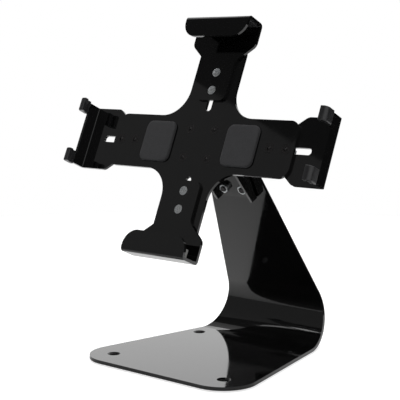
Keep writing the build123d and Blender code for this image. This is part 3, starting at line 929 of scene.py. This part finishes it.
bracket_screw_length = plate_thickness + bracket_sheet + small_nut_height + thread_end
bracket_screw = button_screw(
    small_radius, bracket_screw_length, small_head, small_socket, small_pitch, small_thread_length
)
piece(
    "bracket_screw_set", spread(bracket_screw, [(x, -y) for x, y in bracket_holes]),
    upright_back, oxide, "stand", "bracket_screws", sharp=socket_sharp,
)
piece(
    "bracket_nut_set", spread(small_nut(), bracket_holes),
    moved(upright, z=bracket_sheet), zinc, "stand", "bracket_nuts",
)

# Tilt axis: the bolt runs along X
across = turned(head, 90, "Y")
pivot_grip = bracket_width + 2 * pivot_washer_height
bolt_length = pivot_grip + pivot_nut_height + thread_end
tilt_bolt = button_screw(
    pivot_radius, bolt_length, pivot_head, pivot_socket, pivot_pitch, pivot_thread_length
)
bolt_seat = moved(across, z=pivot_grip / 2)
piece("tilt_bolt", tilt_bolt, bolt_seat, oxide, "stand", "pivot_bolt", sharp=socket_sharp)
tilt_washer = washer(pivot_washer_radius, pivot_radius + running_fit, pivot_washer_height)
tilt_washers = both_ends(tilt_washer, bracket_width / 2)
piece("tilt_washers", tilt_washers, across, zinc, "stand", "pivot_washers")
collar_radius = pivot_nut_flats / 2 * collar_share
collar_inside = collar_radius - collar_roll[-1][0]
lock_body_height = pivot_nut_height - collar_height
collar_foot = lock_body_height - collar_overlap
bore_radius = pivot_radius + thread_fit
collar = [(collar_radius - inwards, pivot_nut_height - down) for inwards, down in collar_roll]
lock_nut = together(
    hex_nut(pivot_nut_flats, lock_body_height, bore_radius),
    hollow([(collar_radius, collar_foot), *collar, (collar_inside, collar_foot)]),
)
nut_seat = turned(moved(across, z=-pivot_grip / 2), 180, "X")
piece("tilt_lock_nut", lock_nut, nut_seat, zinc, "stand", "pivot_nut")
insert_radius = collar_inside - insert_gap
insert_end = pivot_nut_height - insert_drop
insert = hollow(
    [
        (bore_radius, lock_body_height), (bore_radius, insert_end),
        (insert_radius, insert_end), (insert_radius, lock_body_height),
    ]
)
piece("lock_nut_insert", insert, nut_seat, nylon, "stand")

# Knuckle, a casting of barrel, neck, flange and spindle
barrel_length = bracket_width - 2 * (bracket_sheet + disc_thickness + side_play)
barrel_end = barrel_length / 2
barrel = capped_rod(barrel_radius, -barrel_end, barrel_end, sides=64)
barrel.transform(Matrix.Rotation(radians(90), 4, "Y"))
neck = slab(rectangle(neck_width / 2, barrel_radius), 0, flange_standoff + flange_thickness / 2)
flange = capped_rod(flange_radius, flange_standoff, flange_front, sides=96)
bore = rod(pivot_radius + running_fit, -bracket_width, bracket_width)
bore.transform(Matrix.Rotation(radians(90), 4, "Y"))
cast_body = softened(combined(combined(barrel, [neck, flange], "UNION"), [bore]), casting_edge)
spring_seat = hub_pocket_floor + swivel_play
swivel_nut_rear = spring_seat + spring_height
spindle_start, spindle_end = flange_front - casting_overlap, swivel_nut_rear + swivel_nut_height
spindle = lathe(
    [
        (0, spindle_start), (spindle_radius, spindle_start), (spindle_radius, hub_pocket_floor),
        (spindle_radius, spindle_end - spindle_chamfer), (spindle_radius - spindle_chamfer, spindle_end),
        (0, spindle_end),
    ],
    sides=64,
)
piece("knuckle", together(cast_body, spindle), head, casting, "tilt_head", "tilt_knuckle")
barrel_washer = washer(barrel_radius, pivot_radius + shank_clearance, disc_thickness)
barrel_washers = both_ends(barrel_washer, barrel_end)
piece("barrel_washers", barrel_washers, across, nylon, "tilt_head", "knuckle_washers")
friction_disc = washer(flange_radius, spindle_radius + shank_clearance, disc_thickness)
disc_place = moved(head, z=flange_front)
piece("friction_disc", friction_disc, disc_place, nylon, "tilt_head", "swivel_washer")
swivel_bore = spindle_radius + thread_fit
cone_spring = hollow(
    [
        (spring_radius, 0), (spring_radius, spring_sheet),
        (swivel_bore, spring_height), (swivel_bore, spring_height - spring_sheet),
    ],
    sides=72,
)
piece("cone_spring", cone_spring, moved(head, z=spring_seat), temper, "tilt_head", "swivel_spring")
nut_ring = hollow(
    [
        (swivel_bore, 0), (swivel_bore, swivel_nut_height),
        (swivel_nut_radius - swivel_nut_chamfer, swivel_nut_height),
        (swivel_nut_radius, swivel_nut_height - swivel_nut_chamfer), (swivel_nut_radius, 0),
    ],
    sides=72,
)
notch_outline = rectangle(swivel_nut_slot_depth, swivel_nut_slot_width / 2)
nut_notch = slab(notch_outline, -swivel_nut_height, 2 * swivel_nut_height)
notch_places = [
    Matrix.Rotation(pi / 2 * turn, 4, "Z") @ Matrix.Translation((swivel_nut_radius, 0, 0))
    for turn in range(4)
]
slotted_nut = combined(nut_ring, [copies(nut_notch, notch_places)])
piece("slotted_nut", slotted_nut, moved(head, z=swivel_nut_rear), zinc, "tilt_head", "swivel_nut")

# Hub, a turned cup with rounded rims and a shallow groove round it
hub_middle = (hub_rear + carrier_rear) / 2
groove_radius = hub_radius - hub_groove
hub_profile = [
    (hub_bore_radius, hub_rear),
    *arc_points((hub_radius - hub_edge, hub_rear + hub_edge), hub_edge, -90, 90, hub_arc_step),
    (hub_radius, hub_middle - 2 * hub_groove), (groove_radius, hub_middle - hub_groove),
    (groove_radius, hub_middle + hub_groove), (hub_radius, hub_middle + 2 * hub_groove),
    (hub_radius, carrier_rear - hub_chamfer), (hub_radius - hub_chamfer, carrier_rear),
    (hub_pocket_radius, carrier_rear), (hub_pocket_radius, hub_pocket_floor),
    (hub_bore_radius, hub_pocket_floor),
]
piece("hub", hollow(hub_profile, sides=112), head, casting, "holder", "swivel_hub")


# Carrier, a cross-shaped sheet with slots and countersunk holes
def holder_sheet(corners):
    """A flat blank from the right half of its outline."""
    return slab(rounded(mirrored(corners)), -sheet / 2, sheet / 2, sheet_rim)


half_bar = carrier_bar / 2
cross_corners = [
    (half_bar, -carrier_half_height, carrier_outer_radius),
    (half_bar, -half_bar, carrier_inner_radius),
    (carrier_half_width, -half_bar, carrier_outer_radius),
    (carrier_half_width, half_bar, carrier_outer_radius),
    (half_bar, half_bar, carrier_inner_radius),
    (half_bar, carrier_half_height, carrier_outer_radius),
]
side_holes = [
    (side * (side_screw_inner + step * side_screw_pitch), 0) for side in (-1, 1) for step in (0, 1)
]
hub_holes = [
    (hub_screw_offset * cos(radians(angle)), hub_screw_offset * sin(radians(angle)))
    for angle in (45, 135, 225, 315)
]
arm_slots = [slab(slot_outline(arm_slot_inner, arm_slot_outer), -sheet, sheet) for _ in range(2)]
arm_slots[1].transform(Matrix.Rotation(pi, 4, "Z"))
side_screw_hole = hole_cutter(small_radius + seat_fit, sheet / 2, small_sink_radius + seat_fit)
hub_screw_hole = hole_cutter(hub_screw_radius + seat_fit, sheet / 2, hub_sink_radius + seat_fit)
carrier_cutters = [*arm_slots, spread(side_screw_hole, side_holes), spread(hub_screw_hole, hub_holes)]
carrier_shape = combined(holder_sheet(cross_corners), carrier_cutters)
carrier_place = moved(head, z=carrier_rear + sheet / 2)
piece("carrier", carrier_shape, carrier_place, paint, "holder", "carrier_plate")
carrier_face = moved(head, z=carrier_front)
hub_screw = flat_screw(hub_screw_radius, hub_screw_length, hub_sink_radius, hub_socket, hub_screw_pitch)
side_screw_length = carrier_front - side_rear + small_stack + thread_end
side_screw = flat_screw(small_radius, side_screw_length, small_sink_radius, small_socket, small_pitch)
for name, screw, points, owner in (
    ("hub_screw_set", hub_screw, hub_holes, "hub_screws"),
    ("side_screw_set", side_screw, side_holes, "side_clamp_screws"),
):
    piece(name, spread(screw, points), carrier_face, oxide, "holder", owner, sharp=socket_sharp)
clamped("side", "set", "side_clamp", side_holes, head, side_rear, "holder")
for name, side, nodes in (("left", -1, []), ("right", 1, ["carrier_pads"])):
    pad_corners = rectangle(carrier_pad_width / 2, carrier_pad_height / 2)
    pad_outline = rounded([(x, y, carrier_pad_radius) for x, y in pad_corners])
    pad_shape = crowned(pad_outline, carrier_front, arm_front, pad_drop, side)
    pad = piece(f"{name}_pad", pad_shape, moved(head, x=side * carrier_pad_place), foam, "holder", *nodes)

# Arms, which slide on the carrier
bend_arc = fold_radius * pi / 2


def hook_folds(strap_end, rear):
    """Where a blank folds up to its wall, and where it folds in to its lip."""
    strap = strap_end - fold_outer
    return strap, strap + bend_arc + (lip_front - rear - 2 * fold_outer)


def hook_folded(shape, reach, strap_end, rear):
    """Folds a blank so that its wall lies at its reach from the swivel axis."""
    bends = [(begin, fold_radius, 90) for begin in hook_folds(strap_end, rear)]
    return folded(shape, (reach - strap_end, rear + sheet / 2), 0, bends, hook_fold_step)


def stud_hole():
    """Through hole with a flat recess for the head, cut from the front of the strap."""
    hole, recess = small_radius + seat_fit, stud_head_radius + seat_fit
    step = sheet / 2 - stud_head_height
    return lathe([(hole, -sheet), (hole, step), (recess, step), (recess, sheet)])


def arm(name, place, reach):
    """An arm with its studs, washers and nuts."""
    body = f"{name}_arm"
    end = hook_folds(hook_strap_end, arm_rear)[1] + bend_arc + hook_drop - fold_outer
    blank = holder_sheet(
        [
            (strap_half_width, 0, strap_end_radius),
            (strap_half_width, hook_strap_end - hook_shoulder_height, shoulder_radius),
            (hook_half_width, hook_strap_end - hook_back_height, shoulder_radius),
            (hook_half_width, end, hook_corner_radius),
        ]
    )
    studs = [(0, reach - stud_inset), (0, reach - stud_inset - stud_pitch)]
    holes = spread(stud_hole(), [(x, y - reach + hook_strap_end) for x, y in studs])
    shape = hook_folded(combined(blank, [holes]), reach, hook_strap_end, arm_rear)
    piece(f"{name}_hook", shape, place, paint, body, body)
    cap = lathe(
        [
            (0, -stud_head_height), (stud_head_radius, -stud_head_height),
            (stud_head_radius, -stud_chamfer), (stud_head_radius - stud_chamfer, 0), (0, 0),
        ]
    )
    length = arm_front - carrier_rear + small_stack + thread_end
    stud = together(cap, thread(small_radius, -length, -stud_head_height, small_pitch))
    stud_place = moved(place, z=arm_front)
    piece(f"{name}_stud_pair", spread(stud, studs), stud_place, zinc, body, f"{name}_studs")
    clamped(name, "pair", name, studs, place, carrier_rear, body)


upside_down = turned(head, 180, "Z")
arm("top", head, hook_reach + device_rise)
arm("bottom", upside_down, hook_reach - device_rise)


def along_bar(corners, rim):
    """A bar whose section is given in the arm's own (out, front) directions, with rounded rims."""
    bar = slab(rounded(corners), -cushion_width / 2, cushion_width / 2, rim)
    bar.transform(Matrix(((0, 0, 1, 0), (1, 0, 0, 0), (0, 1, 0, 0), (0, 0, 0, 1))))
    return bar


# Cushion in the front corner of the lower hook, and liner under the wall of the upper one
lower_floor = hook_reach - device_rise - sheet
cushion_rear = lip_rear - cushion_depth
cushion_top = lower_floor - cushion_height
cushion_round = fold_outer - sheet + slide_gap
cushion_corners = [
    (cushion_top, cushion_rear, cushion_radius), (lower_floor, cushion_rear, cushion_radius),
    (lower_floor, lip_rear, cushion_round), (cushion_top, lip_rear, cushion_radius),
]
cushion = along_bar(cushion_corners, cushion_rim)
piece("lower_cushion", cushion, upside_down, pale_rubber, "bottom_arm", "bottom_cushion")
upper_floor = hook_reach + device_rise - sheet
liner_face = upper_floor - liner_thickness
liner_half_depth = (device_front - device_back) / 2 - (fold_outer - sheet)
device_middle = (device_front + device_back) / 2
liner_rear, liner_front = device_middle - liner_half_depth, device_middle + liner_half_depth
liner_corners = [
    (liner_face, liner_rear, liner_radius), (upper_floor, liner_rear, liner_wall_radius),
    (upper_floor, liner_front, liner_wall_radius), (liner_face, liner_front, liner_radius),
]
liner = along_bar(liner_corners, liner_rim)
piece("upper_liner", liner, head, dark_rubber, "top_arm", "top_liner")

# Side brackets, each with two hooks in rubber sleeves
wall_fold, lip_fold = hook_folds(side_strap_end, side_rear)
side_end = lip_fold + bend_arc + side_lip - fold_outer
hook_root = wall_fold + bend_arc + side_wall_depth - fold_outer
side_corners = [
    (strap_half_width, 0, strap_end_radius),
    (strap_half_width, side_strap_end - side_shoulder_width, shoulder_radius),
    (side_half_height, side_strap_end - side_back_width, shoulder_radius),
    (side_half_height, side_end, hook_end_radius),
    (side_gap_half, side_end, hook_end_radius),
    (side_gap_half, hook_root, side_gap_radius),
]
slot_ends = [end + side_strap_end - side_reach for end in (side_slot_inner, side_slot_outer)]


def sleeve_layer(side, grow, root, rim):
    """A hook's flat shape from a root to its end, larger all round by one length."""
    near, far = [half + way * grow for half, way in ((side_gap_half, -1), (side_half_height, 1))]
    low, high = sorted((side * near, side * far))
    outline = [(low, root), (high, root), (high, side_end + grow), (low, side_end + grow)]
    return slab(outline, -sheet / 2 - grow, sheet / 2 + grow, rim, steps=4)


def sleeve(side):
    root = hook_root + side_gap_radius
    outer = sleeve_layer(side, sleeve_thickness, root, sleeve_rim)
    inner = sleeve_layer(side, sleeve_fit, root - sheet, 0.0)
    return hook_folded(combined(outer, [inner]), side_reach, side_strap_end, side_rear)


for name, angle in (("left", 90), ("right", -90)):
    place = turned(head, angle, "Z")
    body = f"{name}_bracket"
    slot = slab(slot_outline(*slot_ends), -sheet, sheet)
    blank = combined(holder_sheet(side_corners), [slot])
    wall = hook_folded(blank, side_reach, side_strap_end, side_rear)
    piece(f"{name}_wall", wall, place, paint, body, body)
    sleeves = together(sleeve(-1), sleeve(1))
    piece(f"{name}_sleeves", sleeves, place, sleeve_vinyl, body, f"{name}_liners")

# Camera, worked out from the device's four glass corners in the photograph
camera_place = Vector((580.9, -707.85, 254.6)) * MM
camera_azimuth = 39.61
camera_pitch = -7.33
focal_pixels = 1099.03
picture_pixels = 400
sensor_width = 36.0
camera_data = bpy.data.cameras.new("camera")
camera_data.sensor_width = sensor_width
camera_data.lens = focal_pixels * sensor_width / picture_pixels
camera = bpy.data.objects.new("camera", camera_data)
camera.location = camera_place
camera.rotation_euler = (radians(90 + camera_pitch), 0, radians(camera_azimuth))
bpy.context.collection.objects.link(camera)
bpy.context.scene.camera = camera
bpy.context.scene.view_settings.view_transform = "Standard"


def light_path(tree):
    """1 for camera and transmission rays, and 1 for glossy rays."""
    rays = node(tree, "LightPath").outputs
    straight = calculated(tree, "MAXIMUM", rays["Is Camera Ray"], rays["Is Transmission Ray"])
    return straight, rays["Is Glossy Ray"]


# World: white to the camera and in gloss, and an even light otherwise
fill_light = 0.55
world = bpy.data.worlds.new("studio")
world.use_nodes = True
bpy.context.scene.world = world
tree = world.node_tree
seen = calculated(tree, "MAXIMUM", *light_path(tree))
sky = {"Color": (1, 1, 1, 1), "Strength": ranged(tree, seen, 0, 1, fill_light, 1.0)}
fed(tree, tree.nodes["Background"], sky)


def bare_material(name):
    """A material without a shader, its tree and the socket for its surface."""
    made = bpy.data.materials.new(name)
    made.use_nodes = True
    tree = made.node_tree
    tree.nodes.remove(tree.nodes["Principled BSDF"])
    return made, tree, tree.nodes["Material Output"].inputs["Surface"]


# Floor, a white disc that glows a little to the camera and, towards the back, in gloss
floor_radius = 900.0
floor_depth = 0.02
floor_grey, floor_glow, mirrored_glow = 0.6, 0.68, 0.8
shade_grey, shade_share = 0.12, 0.08
glow_start, glow_end = -100.0, 200.0  # towards the back
floor_material, tree, surface = bare_material("floor_white")
spot = node(tree, "SeparateXYZ", {0: node(tree, "TexCoord").outputs["Object"]}).outputs
straight, glossy = light_path(tree)
towards_back = ranged(tree, spot["Y"], glow_start * MM, glow_end * MM, 0.0, mirrored_glow)
in_gloss = calculated(tree, "MULTIPLY", towards_back, glossy)
glow = calculated(tree, "ADD", in_gloss, ranged(tree, straight, 0, 1, 0.0, floor_glow))
# It is in shade under the desk holes, well inside the foot's outline
shade_margin = 1.0
front_shade, rear_shade = [
    (abs(desk_holes[index][0]) + desk_sink_radius + shade_margin) * MM for index in (0, -1)
]
shade_reach = (foot_depth / 2 - rear_hole_inset + desk_sink_radius + shade_margin) * MM
covered = ranged(tree, spot["Y"], -shade_reach, shade_reach, front_shade, rear_shade)
off_x, off_y = [calculated(tree, "ABSOLUTE", spot[axis], spot[axis]) for axis in "XY"]
within = calculated(tree, "LESS_THAN", off_x, covered)
not_past = ranged(tree, off_y, shade_reach - shade_margin * MM, shade_reach, 1.0, 0.0)
under_foot = calculated(tree, "MULTIPLY", within, not_past)
shade = ranged(tree, under_foot, 0, 1, 1.0, shade_share)
matt = node(tree, "BsdfDiffuse", {"Color": ranged(tree, under_foot, 0, 1, floor_grey, shade_grey)})
lift = node(tree, "Emission", {"Strength": calculated(tree, "MULTIPLY", glow, shade)})
whole = node(tree, "AddShader", {0: matt.outputs[0], 1: lift.outputs[0]})
tree.links.new(whole.outputs[0], surface)
floor_shape = slab(disc(floor_radius, sides=128), -floor_depth, 0)
floor_shape.transform(ground)
floor = object_of(floor_shape, "floor")
floor.data.materials.append(floor_material)


# Cards round the object, which only its reflections show
def card(name, shape, level):
    """A glowing card of the given shape, seen in gloss alone."""
    material, tree, surface = bare_material(name)
    tree.links.new(node(tree, "Emission", {"Strength": level}).outputs[0], surface)
    shape.transform(ground)
    made = object_of(shape, name)
    made.data.materials.append(material)
    made.visible_camera = False
    made.visible_diffuse = False
    made.visible_shadow = False


def sky_patch(azimuths, elevations, distance, centre):
    """A patch of a sphere, between two azimuths and two elevations in degrees, from its centre."""
    turns, rises = [
        arc_steps(first, last - first, ceil((last - first) / card_step))
        for first, last in (azimuths, elevations)
    ]
    shape = bmesh.new()
    grid = []
    for up in rises:
        points = [Vector((cos(up) * cos(turn), cos(up) * sin(turn), sin(up))) for turn in turns]
        grid.append([shape.verts.new(Vector(centre) + point * distance) for point in points])
    for low, high in zip(grid, grid[1:]):
        for corners in zip(low, low[1:], high[1:], high):
            shape.faces.new(corners)
    return shape


card_step = 3.0
flags = (2500.0, (0, 0, 0))  # distance and centre
windows = (2250.0, (0, 0, 0))
hook_cards = (260.0, (0, 80, 280))
for name, azimuths, elevations, level, where in (
    ("flag_front_left", (150, 300), (16, 62), 0.07, flags),
    ("flag_right", (10, 86), (-25, 32), 0.03, flags),
    ("window_back_left", (94, 152), (-8, 25), 1.45, windows),
    ("window_top", (94, 135), (25, 28), 1.45, windows),
    ("window_top_right", (94, 135), (28, 35), 2.2, windows),
    ("window_top_left", (135, 156), (25, 62), 0.42, windows),
    ("strip_lamp", (187, 193), (47.2, 48.4), 4.0, windows),
    ("hook_card", (118, 216), (36, 56), 1.4, hook_cards),
    ("streak_card", (179, 205.5), (16, 36), 2.0, hook_cards),
    ("bright_streak_card", (208.5, 214.5), (16, 36), 4.0, hook_cards),
):
    card(name, sky_patch(azimuths, elevations, *where), level)

# A grey card that stands close by at the front left
grey_card_distance = 250.0
grey_card_half_width = 420.0
grey_card_height = 400.0
grey_card_lift = 2.0
grey_card_turn = -45
grey_card_level = 0.25
grey_card = bmesh.new()
grey_card.faces.new(
    [
        grey_card.verts.new((x * grey_card_half_width, -grey_card_distance, grey_card_lift + y))
        for x, y in ((-1, 0), (1, 0), (1, grey_card_height), (-1, grey_card_height))
    ]
)
grey_card.transform(Matrix.Rotation(radians(grey_card_turn), 4, "Z"))
card("grey_card", grey_card, grey_card_level)

# Two softboxes, which light all but the gloss
softbox_target = Vector((0, 0, 100))
for name, place, width, height, power in (
    ("left_softbox", (-900, -150, 1150), 700, 400, 7.0),
    ("top_softbox", (250, 300, 1400), 900, 700, 6.0),
):
    data = bpy.data.lights.new(name, "AREA")
    data.shape = "RECTANGLE"
    data.size = width * MM
    data.size_y = height * MM
    data.energy = power
    softbox = bpy.data.objects.new(name, data)
    softbox.location = Vector(place) * MM
    softbox.rotation_euler = (softbox_target - Vector(place)).to_track_quat("-Z", "Y").to_euler()
    softbox.visible_glossy = False
    bpy.context.collection.objects.link(softbox)
